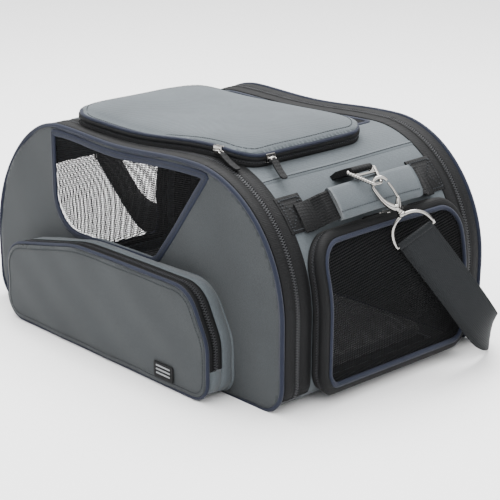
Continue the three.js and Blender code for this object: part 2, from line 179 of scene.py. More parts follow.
LOOK = {
    "twill": cloth_look("twill", (0.088, 0.102, 0.112), "DIAGONAL", 420, 0.4, sheen=0.12),
    # This twill is the same cloth as the twill above, painted darker as painted shade for the upright side
    # panels, the pocket face and the base, so they read darker than the top and ends.
    "shaded_twill": cloth_look("shaded_twill", (0.042, 0.047, 0.05), "DIAGONAL", 420, 0.4, sheen=0.1),
    "band": cloth_look("band", (0.0055, 0.0057, 0.0063), "X", 300, 0.5, 0.62, 0.01),
    "coil": cloth_look("coil", (0.045, 0.046, 0.049), "X", 300, 0.3, 0.3, 0.0),
    "webbing": cloth_look("webbing", (0.008, 0.0083, 0.009), "DIAGONAL", 160, 0.6, 0.7, 0.02, 0.0008),
    "navy": cloth_look("navy", (0.013, 0.0165, 0.031), "Y", 350, 0.3, 0.75, 0.08),
    "net": cloth_look("net", (0.006, 0.0062, 0.007), "Y", 200, 0.4, 0.6, 0.0),
    "strap": cloth_look("strap", (0.011, 0.0125, 0.014), "DIAGONAL", 220, 0.4, 0.72, 0.02, 0.0006),
    "fleece": cloth_look("fleece", (0.05, 0.052, 0.055), "X", 90, 0.3, 1.0, 0.3, 0.002),
    "thread": cloth_look("thread", (0.03, 0.033, 0.037), "X", 400, 0.3, 0.7, 0.0),
    "seam": cloth_look("seam", (0.03, 0.034, 0.038), "X", 400, 0.3, 0.8, 0.0),
    "woven": cloth_look("woven", (0.3, 0.31, 0.32), "X", 400, 0.2, 0.8, 0.05),
    "board": cloth_look("board", (0.02, 0.021, 0.023), "X", 120, 0.3, 0.6, 0.0),
    "nickel": metal_look("nickel", (0.3, 0.29, 0.275), 0.1),
}


# ---- lines in a plane ----
class Track:
    """A plane line measured along its length, with the normal on its outer side."""

    def __init__(self, points, closed=True):
        p = np.asarray(points, float)
        if closed:
            p = np.vstack([p, p[:1]])
        step = np.linalg.norm(np.diff(p, axis=0), axis=1)
        self.p = p[np.append(True, step > 1e-6)]
        self.s = np.append(0, np.cumsum(step[step > 1e-6]))
        self.length = self.s[-1]
        self.closed = closed

    def spot(self, s):
        s = np.mod(s, self.length) if self.closed else np.clip(s, 0, self.length)
        return np.stack([np.interp(s, self.s, self.p[:, k]) for k in (0, 1)], -1)

    def at(self, s):
        ahead = self.spot(np.asarray(s) + 1.2) - self.spot(np.asarray(s) - 1.2)
        ahead = ahead / np.maximum(np.linalg.norm(ahead, axis=-1, keepdims=True), 1e-9)
        return self.spot(s), np.stack([ahead[..., 1], -ahead[..., 0]], -1)

    def loop(self, pitch, inset=0.0):
        s = np.linspace(0, self.length, max(8, int(self.length / pitch)), endpoint=False)
        p, n = self.at(s)
        return p - n * inset


def rounded(corners, steps=8):
    """An outline with these (a, b, radius) corners, each rounded by an arc."""
    points = []
    for i, (a, b, radius) in enumerate(corners):
        here = Vector((a, b))
        back = (Vector(corners[i - 1][:2]) - here).normalized()
        ahead = (Vector(corners[(i + 1) % len(corners)][:2]) - here).normalized()
        half = back.angle(ahead) / 2
        start = here + back * (radius / math.tan(half))
        end = here + ahead * (radius / math.tan(half))
        centre = here + (back + ahead).normalized() * (radius / math.sin(half))
        a0 = math.atan2(start.y - centre.y, start.x - centre.x)
        sweep = math.remainder(math.atan2(end.y - centre.y, end.x - centre.x) - a0, 2 * math.pi)
        for k in range(steps + 1):
            turn = a0 + sweep * k / steps
            points.append((centre.x + radius * math.cos(turn), centre.y + radius * math.sin(turn)))
    return points


def rounded_box(low, high, radius):
    return Track(rounded([(low[0], low[1], radius), (high[0], low[1], radius), (high[0], high[1], radius),
                          (low[0], high[1], radius)]))


def quarter(cx, cz, rx, rz, start):
    a = start + np.linspace(0, math.pi / 2, 40)
    return np.stack([cx + rx * np.cos(a), cz + rz * np.sin(a)], 1)


def dee_points():
    (rx, rz), (lx, lz) = RIGHT_ARC, LEFT_ARC
    u = np.linspace(0, 1, 60)
    x = (HALF_LENGTH - rx) * (1 - u) + (-HALF_LENGTH + lx) * u
    crest = np.stack([x, HEIGHT - TOP_SAG * np.sin(math.pi * u) ** 2], 1)
    foot = BASE_RADIUS
    return np.concatenate([
        quarter(HALF_LENGTH - foot, foot, foot, foot, -math.pi / 2),
        quarter(HALF_LENGTH - rx, HEIGHT - rz, rx, rz, 0),
        crest,
        quarter(-HALF_LENGTH + lx, HEIGHT - lz, lx, lz, math.pi / 2),
        quarter(-HALF_LENGTH + foot, foot, foot, foot, math.pi),
    ])


DEE = Track(dee_points())
# The flap's front edge slants forward to its left corner, which is rounder than the others.
FLAP_LINE = Track(rounded([
    (FLAP["left"], FLAP["front"] - FLAP_SLANT, FLAP["radius"] + 20),
    (FLAP["right"], FLAP["front"], FLAP["radius"]),
    (FLAP["right"], FLAP["rear"], FLAP["radius"]), (FLAP["left"], FLAP["rear"], FLAP["radius"]),
]))
DOOR_LINE = Track(rounded([
    (DOOR["front"], DOOR["bottom"], 20), (DOOR["rear"], DOOR["bottom"], 20),
    (DOOR["rear"], DOOR["top"], DOOR["radius"]), (DOOR["front"], DOOR["top"], DOOR["radius"]),
]))
POCKET_LINE = Track(rounded([
    (-169, 3, 24), (167, 3, 20), (167, 62, 45), (141, 112, 34), (-40, 112, 150), (-164, 86, 32),
]))


def top_height(x):
    """The height of the D's outline at x."""
    (rx, rz), (lx, lz) = RIGHT_ARC, LEFT_ARC
    x = np.asarray(x, float)
    right = np.clip((x - HALF_LENGTH + rx) / rx, 0, 0.999)
    left = np.clip((-HALF_LENGTH + lx - x) / lx, 0, 0.999)
    u = np.clip((HALF_LENGTH - rx - x) / (2 * HALF_LENGTH - rx - lx), 0, 1)
    fall = rz * (1 - np.sqrt(1 - right ** 2)) + lz * (1 - np.sqrt(1 - left ** 2))
    return HEIGHT - TOP_SAG * np.sin(math.pi * u) ** 2 - fall


def end_reach(side, z):
    """The x of the D's outline at height z, at the right (1) or left (-1) end."""
    rx, rz = RIGHT_ARC if side > 0 else LEFT_ARC
    z = np.asarray(z, float)
    up = np.clip((z - HEIGHT + rz) / rz, 0, 0.999)
    low = np.clip((BASE_RADIUS - z) / BASE_RADIUS, 0, 0.999)
    return side * (HALF_LENGTH - rx * (1 - np.sqrt(1 - up ** 2)) - BASE_RADIUS * (1 - np.sqrt(1 - low ** 2)))


# ---- places on the bag: each turns (along, across, outward) into a point ----
def on_dee(s, y, off):
    p, n = DEE.at(s)
    x, z = p[..., 0] + n[..., 0] * off, p[..., 1] + n[..., 1] * off
    return np.stack(np.broadcast_arrays(x, y, z), -1)


def on_top(x, y, off):
    slope = top_height(np.asarray(x) + 0.5) - top_height(np.asarray(x) - 0.5)
    size = np.sqrt(1 + slope ** 2)
    return np.stack(np.broadcast_arrays(x - slope * off / size, y, top_height(x) + off / size), -1)


def on_end(side):
    def place(y, z, off):
        slope = end_reach(side, np.asarray(z) + 0.5) - end_reach(side, np.asarray(z) - 0.5)
        size = np.sqrt(1 + slope ** 2)
        x = end_reach(side, z) + side * off / size
        return np.stack(np.broadcast_arrays(x, y, z - side * slope * off / size), -1)
    return place


def on_face(side, base=FACE_Y):
    def place(x, z, off):
        return np.stack(np.broadcast_arrays(x, side * (base + np.asarray(off, float)), z), -1)
    return place


def along(track, place):
    def locate(s, out, off):
        p, n = track.at(s)
        return place(p[..., 0] + n[..., 0] * out, p[..., 1] + n[..., 1] * out, off)
    return locate


def around_pocket(s, y, off):
    p, n = POCKET_LINE.at(s)
    return np.stack(np.broadcast_arrays(p[..., 0] + n[..., 0] * off, y, p[..., 1] + n[..., 1] * off), -1)


# ---- meshes ----
def settle(v):
    """The whole body leans a little higher at the rear, and its cloth is never quite flat."""
    v = np.array(v, float)
    x, y, z = v[:, 0], v[:, 1], v[:, 2]
    rise = np.clip(z / HEIGHT, 0, 1)
    v[:, 2] += LEAN * rise * y / FACE_Y + 0.7 * rise * np.sin(x / 31 + 1.3 * np.sin(y / 47))
    v[:, 0] += 0.8 * rise * np.sin(z / 29 + y / 37)
    v[:, 1] += 0.8 * rise * np.sin(x / 43 + z / 33)
    return v


def make(name, verts, faces, look, body, smooth=True, soft=True):
    """A mesh piece that rides on a body. Soft pieces settle, and none goes below the floor."""
    verts = np.asarray(verts, float).reshape(-1, 3)
    verts = settle(verts) if soft else verts
    verts[:, 2] = np.maximum(verts[:, 2], FLOOR_GAP)
    data = bpy.data.meshes.new(name)
    data.from_pydata((verts * MM).tolist(), [], faces)
    data.validate()
    if smooth:
        data.shade_smooth()
    data.materials.append(LOOK[look])
    piece = bpy.data.objects.new(name, data)
    bpy.context.collection.objects.link(piece)
    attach(piece, body)
    return piece


def quads(count, width, closed=False, ring=True):
    """Faces over rows of points. closed joins the last row to the first, ring joins each row's ends."""
    faces = []
    for i in range(count if closed else count - 1):
        j = (i + 1) % count
        for k in range(width if ring else width - 1):
            m = (k + 1) % width
            faces.append((i * width + k, i * width + m, j * width + m, j * width + k))
    return faces


def caps(count, width):
    """The faces that shut the first and last of count rows."""
    return [tuple(range(width))[::-1], tuple(range((count - 1) * width, count * width))]


def strip(name, locate, span, section, look, body, step=3.5, closed=True, ring=True):
    """A section of (across, outward) points carried along a line."""
    count = max(4, int((span[1] - span[0]) / step))
    s = np.linspace(*span, count, endpoint=not closed)
    a, b = np.array(section, float).T
    rows = locate(s[:, None], a[None], b[None])
    faces = quads(count, len(section), closed, ring)
    if ring and not closed:
        faces += [cap[::-1] for cap in caps(count, len(section))]
    return make(name, rows, faces, look, body)


def pillow(a0, a1, b0, b1, sag=0.6):
    """A soft rectangular section with eased corners."""
    return [(a0, b0), (a1, b0), (a1, b1 - sag), (a1 - sag * np.sign(a1 - a0), b1), ((a0 + a1) / 2, b1 + 0.3),
            (a0 + sag * np.sign(a1 - a0), b1), (a0, b1 - sag)]


def cord_section(a, b, radius, sides=8):
    turn = np.linspace(0, 2 * math.pi, sides, endpoint=False)
    return [(a + radius * math.cos(t), b + radius * math.sin(t)) for t in turn]


def studs(name, locate, s, size, at, look, body, slant=0.0):
    """Small boxes along a line: teeth and stitches."""
    s = np.asarray(s, float)
    corners = []
    for db in (-0.5, 0.5):
        for ds, da in ((-0.5, -0.5), (0.5, -0.5), (0.5, 0.5), (-0.5, 0.5)):
            corners.append(locate(s + ds * size[0] + slant * da, at[0] + da * size[1], at[1] + db * size[2]))
    verts = np.stack(corners, 1)
    faces = [tuple(8 * i + q for q in quad) for i in range(len(s)) for quad in BOX_FACES]
    return make(name, verts, faces, look, body, smooth=False)


def stitches(name, locate, length, at, look, body):
    studs(name, locate, np.arange(0, length, STITCH_PITCH), STITCH, at, look, body)


def inside(points, outline):
    x, y = points[:, 0], points[:, 1]
    hit = np.zeros(len(points), bool)
    for (x0, y0), (x1, y1) in zip(outline, np.roll(outline, -1, 0)):
        if y0 != y1:
            hit ^= ((y0 > y) != (y1 > y)) & (x < (x1 - x0) * (y - y0) / (y1 - y0) + x0)
    return hit


def in_cloth(points, loops):
    """Whether each point is inside the first loop and outside the others, which are holes."""
    keep = inside(points, loops[0])
    for hole in loops[1:]:
        keep &= ~inside(points, hole)
    return keep


def cloth(name, outline, holes, place, lift, pitch, look, body, thick=1.2):
    """Sewn cloth inside a plane outline, lifted outward by lift(a, b)."""
    loops = [np.asarray(outline)] + [np.asarray(h) for h in holes]
    low, high = loops[0].min(0), loops[0].max(0)
    grid = np.stack(np.meshgrid(np.arange(low[0], high[0], pitch), np.arange(low[1], high[1], pitch)), -1)
    grid = grid.reshape(-1, 2)
    points = [Vector(p) for loop in loops for p in loop] + [Vector(p) for p in grid[in_cloth(grid, loops)]]
    edges, start = [], 0
    for loop in loops:
        n = len(loop)
        edges += [(start + i, start + (i + 1) % n) for i in range(n)]
        start += n
    flat, _, tris, *_ = delaunay_2d_cdt(points, edges, [], 0, 1e-4)
    flat = np.array([tuple(p) for p in flat])
    tris = np.array(tris)
    tris = tris[in_cloth(flat[tris].mean(1), loops)]
    a, b = flat[:, 0], flat[:, 1]
    piece = make(name, place(a, b, lift(a, b)), tris.tolist(), look, body)
    layer = piece.modifiers.new("thickness", "SOLIDIFY")
    layer.thickness = thick * MM
    layer.offset = 0
    return piece


def net(name, outline, place, off, pitch, look, body, radius=0.33, slope=0.12):
    """Open net: two families of fine strands cut to an outline."""
    outline = np.asarray(outline)
    low, high = outline.min(0), outline.max(0)
    pieces = []
    for direction in (np.array([1, slope]), np.array([-slope, 1])):
        direction = unit(direction)
        across = np.array([-direction[1], direction[0]])
        reach = np.linalg.norm(high - low) / 2
        for shift in np.arange(-reach, reach, pitch):
            t = np.arange(-reach, reach + pitch, pitch * 1.5)
            line = (low + high) / 2 + across * shift + t[:, None] * direction
            mask = inside(line, outline)
            both = mask[:-1] & mask[1:]
            pieces.append(np.stack([line[:-1][both], line[1:][both]], 1).reshape(-1, 4))
    ends = np.concatenate(pieces)
    start, end = ends[:, :2], ends[:, 2:]
    side = end - start
    side = np.stack([-side[:, 1], side[:, 0]], 1) / np.linalg.norm(side, axis=1)[:, None] * radius
    ring = [(side, 0), (0 * side, radius), (-side, 0), (0 * side, -radius)]
    verts = [place(*(p + w).T, off + h) for p in (start, end) for w, h in ring]
    verts = np.stack(verts, 1)
    faces = [tuple(8 * i + q for q in quad) for i in range(len(start)) for quad in BOX_FACES[2:]]
    return make(name, verts, faces, look, body)


def zip_coil(name, locate, span, across, off, near_body, far_body, pitch=2.7):
    """Two rows of interlocked coil teeth, each with a stitched line, and each on its own half of the zip."""
    rows = ((-1, "a", 0, near_body), (1, "b", pitch / 2, far_body))
    teeth = np.arange(*span, pitch)
    for row, letter, shift, body in rows:
        studs(f"{name}_teeth_{letter}", locate, teeth + shift, TOOTH, (across + row * 1.1, off), "coil", body,
              slant=row * 0.5)
    seam = np.arange(*span, 3.4)
    for row, letter, _, body in rows:
        studs(f"{name}_stitch_{letter}", locate, seam, (2.3, 0.5, 0.6), (across + row * 4.0, off - 0.5),
              "thread", body)


# ---- body ----
def dee_span(foot):
    """Where along the D its line rises past the foot on the right and comes down to it on the left."""
    s = np.linspace(0, DEE.length, 4000)
    high = s[DEE.spot(s)[:, 1] >= foot]
    return high[0], high[-1]


def gusset():
    s = np.arange(0, DEE.length, 3.0)
    y = np.linspace(-GUSSET_HALF, GUSSET_HALF, 75)
    rows = on_dee(s[:, None], y[None], 0.2)
    mid = rows.reshape(-1, 3)
    xy, yz = mid[:, :2], mid[:, 1:]
    on_the_top = mid[:, 2] > TOP_FROM
    flap_hole = inside(xy, FLAP_LINE.loop(4, 8)) & on_the_top
    door_hole = inside(yz, DOOR_LINE.loop(4, 7)) & (mid[:, 2] < TOP_FROM)
    strip_hole = (np.abs(xy[:, 0] - 3) < 105) & (np.abs(xy[:, 1] - 86) < 13) & on_the_top
    gone = flap_hole | door_hole | strip_hole
    faces = [face for face in quads(len(s), len(y), closed=True, ring=False) if not gone[list(face)].any()]
    skin = make("gusset_skin", rows, faces, "twill", "shell")
    layer = skin.modifiers.new("padding", "SOLIDIFY")
    layer.thickness = 2.6 * MM
    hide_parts("gusset_shell")
    low, high = dee_span(ZIP_FOOT + 2)
    under = np.linspace(high - DEE.length, low, 120)
    bottom = np.linspace(-FACE_Y + 2, FACE_Y - 2, 60)
    floor_rows = on_dee(under[:, None], bottom[None], 0.1)
    # The base's cloth is the twill darkened by painted shade.
    make("base_skin", floor_rows, quads(len(under), len(bottom), ring=False), "shaded_twill", "shell")
    for letter, x in (("r", 167), ("l", -179)):
        fold = on_top_line(x)
        line = np.linspace(-108, 108, 73)
        studs(f"shoulder_stitch_{letter}", fold, line, (2.2, 0.6, 0.7), (0, 0.9), "seam", "shell")
        strip(f"shoulder_seam_{letter}", fold, (-GUSSET_HALF, GUSSET_HALF),
              [(-3, 0), (-2.4, 0.7), (2.4, 0.7), (3, 0)], "twill", "shell", closed=False, ring=False)


def on_top_line(x):
    def locate(s, across, off):
        return on_top(x + across + 0 * s, s, off)
    return locate


def top_strip():
    (left, front), (right, rear) = STRIP_LOW, STRIP_HIGH
    outline = np.array([(left, front), (right, front), (right, rear), (left, rear)])
    piece = net("top_strip_net", outline, on_top, 0.0, 2.3, "net", "shell", 0.42)
    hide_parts("top_mesh")
    line = rounded_box((left - 2, front - 1), (right + 2, rear), 6)
    strip("top_strip_binding", along(line, on_top), (0, line.length), pillow(-2.5, 2.5, 0, 1.1, 0.4), "navy",
          "shell")


def side_zip(name, side):
    span = dee_span(ZIP_FOOT)
    halves = (
        ("fixed", "shell", pillow(side * 104, side * 119.5, -0.6, 1.4), 119.2),
        ("moving", f"{name}_side", pillow(side * 125.5, side * 138, -0.6, 1.8), 125.8),
    )
    for half, body, section, lip in halves:
        piece = strip(f"{name}_zip_band_{half}", on_dee, span, section, "band", body, closed=False)
        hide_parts(f"{name}_zip_{half}")
        strip(f"{name}_zip_lip_{half}", on_dee, span, cord_section(side * lip, 1.2, 1.0, 6), "band", body,
              closed=False)
    strip(f"{name}_zip_tape", on_dee, span, pillow(side * 117, side * 128, -0.8, 0.5), "band", "shell",
          closed=False)
    near, far = ("shell", f"{name}_side") if side > 0 else (f"{name}_side", "shell")
    zip_coil(f"{name}_zip", on_dee, span, side * 122.5, 1.1, near, far)


def window_outline(inset=0.0):
    """The window's top edge follows the D a few millimetres below its piping."""
    line = Track(rounded([
        (-119 + inset, 107 + inset, 44), (58 - 0.5 * inset, 109 + inset, 22),
        (135.5 - 1.2 * inset, 219.5 - inset, 4), (-119 + inset, 221 - inset, 4),
    ], 10))
    points = line.loop(3)
    points[:, 1] = np.minimum(points[:, 1], top_height(points[:, 0]) - 5.5 - inset)
    return Track(points)


def side_panel(name, side):
    body = f"{name}_side"
    place = on_face(side)
    panel_line = Track(DEE.loop(3.5, 1.2))
    window = window_outline()

    def puff(x, z):
        x, z = np.asarray(x), np.asarray(z)
        across = np.clip(1 - (x / 228) ** 2, 0, 1)
        up = np.clip(1 - ((z - 95) / 115) ** 2, 0, 1)
        return 4.0 * across * up + 0.5 * np.sin(x / 17 + z / 23)

    outer, hole = panel_line.loop(4), window.loop(4)
    # The panel cloth is the twill darkened by painted shade.
    piece = cloth(f"{name}_panel_cloth", outer, [hole], place, puff, 5, "shaded_twill", body, 2.4)
    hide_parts(f"{name}_panel")
    mesh_piece = net(f"{name}_window_net", window_outline(3).loop(3), place, 0.3, 2.1, "net", body, 0.34)
    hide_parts(f"{name}_window_mesh")

    def on_panel(x, z, off):
        return place(x, z, puff(x, z) + off)

    edge = along(window, on_panel)
    rim = [(-5.5, 0.4), (-5.5, 1.7), (-4.5, 2.3), (0, 2.5), (1.6, 2.1), (2.2, 1.2), (2.2, 0.2)]
    strip(f"{name}_window_binding", edge, (0, window.length), rim, "navy", body, step=2.5)
    stitches(f"{name}_window_stitch", edge, window.length, (-1.2, 2.5), "thread", body)
    piping = lambda s, a, b: on_dee(s, side * (FACE_Y + 0.3) + side * a, b)
    full = (0, DEE.length)
    strip(f"{name}_piping", piping, full, cord_section(0, 0.6, 2.3), "navy", body, step=3)
    flange = [(-2.6, -0.8), (-2.6, 0.9), (0, 1.4), (1.2, -2.6)]
    strip(f"{name}_piping_flange", piping, full, flange, "navy", body)


# ---- pocket ----
def pocket():
    s = np.linspace(0, POCKET_LINE.length, 2000)
    high = s[POCKET_LINE.spot(s)[:, 1] >= POCKET_ZIP_FOOT]
    zip_span = (high[0], high[-1])
    full = (0, POCKET_LINE.length)
    section = [(POCKET_BACK, -2.5), (POCKET_BACK, 0.5), (-153, 1.0), (-158, 0.4), (-158, -2.5)]
    wall = strip("pocket_wall", around_pocket, full, section, "twill", "front_side", step=3)
    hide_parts("pocket_gusset")
    strip("pocket_root_seam", around_pocket, full, cord_section(-143.4, 0.8, 1.6), "twill", "front_side")
    strip("pocket_zip_back", around_pocket, zip_span, pillow(-157, -162.5, -1.5, 1.0), "band", "front_side",
          closed=False)
    front_band = strip("pocket_zip_front", around_pocket, zip_span, pillow(-167.5, -174.5, -1.5, 1.2), "band",
                       "pocket_lid", closed=False)
    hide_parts("pocket_zip_moving")
    strip("pocket_zip_tape", around_pocket, zip_span, pillow(-161.5, -169, -1.8, 0.0), "band", "front_side",
          closed=False)
    zip_coil("pocket_zip", around_pocket, zip_span, -165, 0.5, "pocket_lid", "front_side")
    low_span = (zip_span[1], zip_span[0] + POCKET_LINE.length)
    section = [(-156, -2), (-156, 0.4), (-174.5, 0.2), (-174.5, -2)]
    strip("pocket_low_wall", around_pocket, low_span, section, "twill", "front_side", closed=False)

    def swell(x, z):
        rise = np.clip(1 - ((x + 5) / 175) ** 2, 0, 1) * np.clip(1 - ((z - 52) / 62) ** 2, 0, 1)
        return 3.2 * np.sqrt(rise) + 0.4 * np.sin(x / 13 + z / 9)

    place = on_face(-1, -POCKET_FACE)
    # The pocket face is the twill darkened by painted shade.
    front = cloth("pocket_face_cloth", POCKET_LINE.loop(3.5, 0.8), [], place, swell, 4.5, "shaded_twill",
                  "pocket_lid", 2)
    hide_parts("pocket_front")
    strip("pocket_piping", around_pocket, full, cord_section(POCKET_FACE - 0.2, 0.6, 2.0), "navy",
          "pocket_lid")
    lip = along(POCKET_LINE, lambda x, z, off: place(x, z, swell(x, z) + off))
    stitches("pocket_face_stitch", lip, POCKET_LINE.length, (-5, 1.3), "seam", "pocket_lid")
    label()


def label():
    """A plain woven tag with three pale bars."""
    (left, _, bottom), (right, _, top) = box_mm("label")
    flat = lambda x, z: 0 * x
    outline = rounded_box((left, bottom), (right, top), 1.5).loop(1.5)
    tag = cloth("label_tag", outline, [], on_face(-1, 179.2), flat, 2, "band", "pocket_lid", 0.9)
    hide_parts("label")
    for k, height in enumerate((4.5, 8.5, 12.5)):
        x0, x1, z0 = left + 4, right - 4, bottom + height
        z1 = z0 + 1.6
        bar = np.array([(x0, z0), (x1, z0), (x1, z1), (x0, z1)])
        cloth(f"label_bar_{k}", bar, [], on_face(-1, 179.9), flat, 2, "woven", "pocket_lid", 0.4)


# ---- flap ----
def flap():
    edge = along(FLAP_LINE, on_top)
    full = (0, FLAP_LINE.length)
    section = [(-9, 0.2), (0.8, 0.2), (1.2, 1.2), (0.6, 4.2), (-9, 4.2)]
    fixed = strip("flap_band_fixed", edge, full, section, "band", "shell", step=3)
    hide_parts("flap_zip_fixed")
    section = [(-9, 6.4), (0.2, 6.4), (1.0, 7.4), (0.6, 10.2), (-2, 11.2), (-9, 10.4)]
    moving = strip("flap_band_moving", edge, full, section, "band", "top_flap", step=3)
    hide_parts("flap_zip_moving")
    strip("flap_tape", edge, full, [(-3, 4), (-1.0, 4), (-1.0, 6.6), (-3, 6.6)], "band", "shell")
    side_on = lambda s, a, b: edge(s, b, a)
    zip_coil("flap_zip", side_on, full, 5.3, -0.3, "shell", "top_flap")
    strip("flap_piping", edge, full, cord_section(-2.2, 11.6, 2.0), "navy", "top_flap")

    def dome(x, y):
        flat = np.stack([np.ravel(x), np.ravel(y)], 1)
        across = (flat[:, 0] - 13) / 135
        depth = (flat[:, 1] + 26) / 86
        rise = np.clip(1 - np.abs(across) ** 3, 0, 1) * np.clip(1 - np.abs(depth) ** 3, 0, 1)
        wrinkle = 0.8 * np.sin(flat[:, 0] / 19 + 1.5 * np.sin(flat[:, 1] / 21))
        return 10.2 + (11 + wrinkle) * np.sqrt(rise)

    skin = cloth("flap_cloth", FLAP_LINE.loop(4, 2.4), [], on_top, dome, 5, "twill", "top_flap", 2.2)
    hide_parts("flap_panel")
    rim = lambda s, a, b: on_flap(s, a, b, dome)
    stitches("flap_stitch", rim, FLAP_LINE.length, (-8, 1.4), "seam", "top_flap")


def on_flap(s, out, off, dome):
    p, n = FLAP_LINE.at(s)
    x, y = p[..., 0] + n[..., 0] * out, p[..., 1] + n[..., 1] * out
    return on_top(x, y, dome(x, y).reshape(np.shape(x)) + off)


# ---- end doors ----
def end_door(name, side):
    place = on_end(side)
    edge = along(DOOR_LINE, place)
    full = (0, DOOR_LINE.length)
    body = f"{name}_door"
    section = [(-9.5, 0.3), (1.5, 0.3), (2.2, 1.4), (1.0, 4.6), (-9.5, 4.6)]
    fixed = strip(f"{name}_door_band_fixed", edge, full, section, "band", "shell", step=3)
    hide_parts(f"{name}_door_zip_fixed")
    strip(f"{name}_door_tape", edge, full, [(-3, 4.2), (-0.8, 4.2), (-0.8, 7.4), (-3, 7.4)], "band", "shell")
    side_on = lambda s, a, b: edge(s, b, a)
    zip_coil(f"{name}_door_zip", side_on, full, 6.0, -0.1, "shell", body)
    section = [(-9, 7.4), (0.4, 7.4), (1.0, 8.6), (0.4, 12.6), (-2.2, 15.2), (-7, 15.6), (-9, 13)]
    rim = strip(f"{name}_door_rim_band", edge, full, section, "band", body, step=3)
    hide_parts(f"{name}_door_rim")
    strip(f"{name}_door_piping", edge, full, cord_section(-8.6, 15.0, 2.1), "navy", body)

    def belly(y, z):
        rise = np.clip(1 - ((y - 3) / 98) ** 2, 0, 1) * np.clip(1 - ((z - 86) / 68) ** 2, 0, 1)
        return 13.4 + 2.0 * rise

    sag = lambda y, z, off: place(y, z, belly(y, z) + off)
    screen = net(f"{name}_door_net", DOOR_LINE.loop(3, 8), sag, 0.0, 2.3, "net", body, 0.42)
    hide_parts(f"{name}_door_mesh")


# ---- grab handles ----
def handle(name, side):
    place = on_end(side)
    base = place(0.0, HANDLE_HEIGHT, 0.0)
    normal = unit(place(0.0, HANDLE_HEIGHT, 1.0) - base)
    down = side * np.array([normal[2], 0, -normal[0]])

    def bridge(path):
        """The function that places points along a path of (y, lift off the wall), and its track."""
        line = Track(path, closed=False)

        def locate(s, across, off):
            p, n = line.at(s)
            y, lift = p[..., 0] - n[..., 0] * off, p[..., 1] - n[..., 1] * off
            y, lift, across = np.broadcast_arrays(y, lift, across)
            spread = across[..., None] * down
            return base + np.stack([0 * y, y, 0 * y], -1) + lift[..., None] * normal + spread
        return locate, line

    for where, low, high in (("front", -108, -77), ("rear", 73, 108)):
        pad = lambda s, a, b: place(s, HANDLE_HEIGHT + 4.5 + a, b)
        piece = strip(f"{name}_anchor_{where}_pad", pad, (low, high), pillow(-14.5, 14.5, 0.2, 2.2),
                      "webbing", "shell", closed=False)
        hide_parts(f"{name}_anchor_{where}")
        mid, reach = (low + high) / 2, (high - low) / 2 - 3
        lines = [((-1, -1), (1, 1)), ((-1, 1), (1, -1)), ((-1, -1), (1, -1)), ((-1, 1), (1, 1)),
                 ((-1, -1), (-1, 1)), ((1, -1), (1, 1))]
        marks = []
        for (u0, v0), (u1, v1) in lines:
            t = np.linspace(0.03, 0.97, 11)
            marks.append(np.stack([mid + reach * (u0 + (u1 - u0) * t), 12 * (v0 + (v1 - v0) * t)], 1))
        marks = np.concatenate(marks)
        spot = lambda s, a, b: pad(s, marks[:, 1] + a, b)
        studs(f"{name}_anchor_{where}_stitch", spot, marks[:, 0], (1.7, 0.7, 0.6), (0, 2.5), "thread",
              "shell")
    strap_line, line = bridge([(-92, 3.4), (-82, 4.4), (-76, 9), (-68, 16), (-60, 18.5), (0, 19), (52, 18.5),
                               (62, 16), (70, 9), (77, 4.4), (86, 3.4)])
    web = strip(f"{name}_handle_webbing", strap_line, (0, line.length), pillow(-15, 15, -1.2, 1.2), "webbing",
                "shell", closed=False, step=2)
    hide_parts(f"{name}_handle_web")
    ribs = np.arange(-13, 14, 2.6)
    for end, span in (("front", (18, 42)), ("rear", (line.length - 42, line.length - 18))):
        for k, rib in enumerate(ribs):
            strip(f"{name}_handle_rib_{end}_{k}", strap_line, span, cord_section(rib, 1.3, 0.6, 5), "webbing",
                  "shell", closed=False)
    sleeve_line, sleeve_track = bridge([(-60, 18.5), (-30, 19.6), (0, 20), (30, 19.6), (52, 18.5)])
    section = [(-17, -1), (-15, -4.6), (-6, -5.6), (6, -5.6), (15, -4.6), (17, -1), (16.5, 2.4), (12, 4.8),
               (0, 5.8), (-12, 4.8), (-16.5, 2.4)]
    sleeve = strip(f"{name}_handle_pad", sleeve_line, (0, sleeve_track.length), section, "twill", "shell",
                   closed=False)
    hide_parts(f"{name}_handle_sleeve")
    seam = np.arange(2, sleeve_track.length - 2, STITCH_PITCH)
    studs(f"{name}_handle_pad_stitch", sleeve_line, seam, (2.1, 0.6, 0.5), (10.5, 5.3), "thread", "shell")


# ---- metal ----
def tube(name, points, radius, look, body, closed=False, taper=None):
    """A round wire along points. taper holds a thickness for each point, as a share of the radius."""
    curve = bpy.data.curves.new(name, "CURVE")
    curve.dimensions = "3D"
    curve.bevel_depth = radius * MM
    curve.bevel_resolution = 3
    curve.use_fill_caps = True
    spline = curve.splines.new("POLY")
    spline.points.add(len(points) - 1)
    for k, (point, place) in enumerate(zip(spline.points, points)):
        point.co = (*[c * MM for c in place], 1)
        point.radius = 1 if taper is None else taper[k]
    spline.use_cyclic_u = closed
    curve.materials.append(LOOK[look])
    piece = bpy.data.objects.new(name, curve)
    bpy.context.collection.objects.link(piece)
    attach(piece, body)
    return piece


def eased(name, verts, faces, look, body, width=0.5):
    piece = make(name, verts, faces, look, body, smooth=False, soft=False)
    bevel = piece.modifiers.new("edges", "BEVEL")
    bevel.width = width * MM
    bevel.segments = 3
    return piece


def block(name, centre, x, y, z, look, body, width=0.6):
    """A box from its centre and three half axes."""
    centre, x, y, z = (np.array(v, float) for v in (centre, x, y, z))
    square = ((-1, -1), (1, -1), (1, 1), (-1, 1))
    corners = [centre + a * x + b * y + c * z for c in (-1, 1) for a, b in square]
    return eased(name, corners, BOX_FACES, look, body, width)


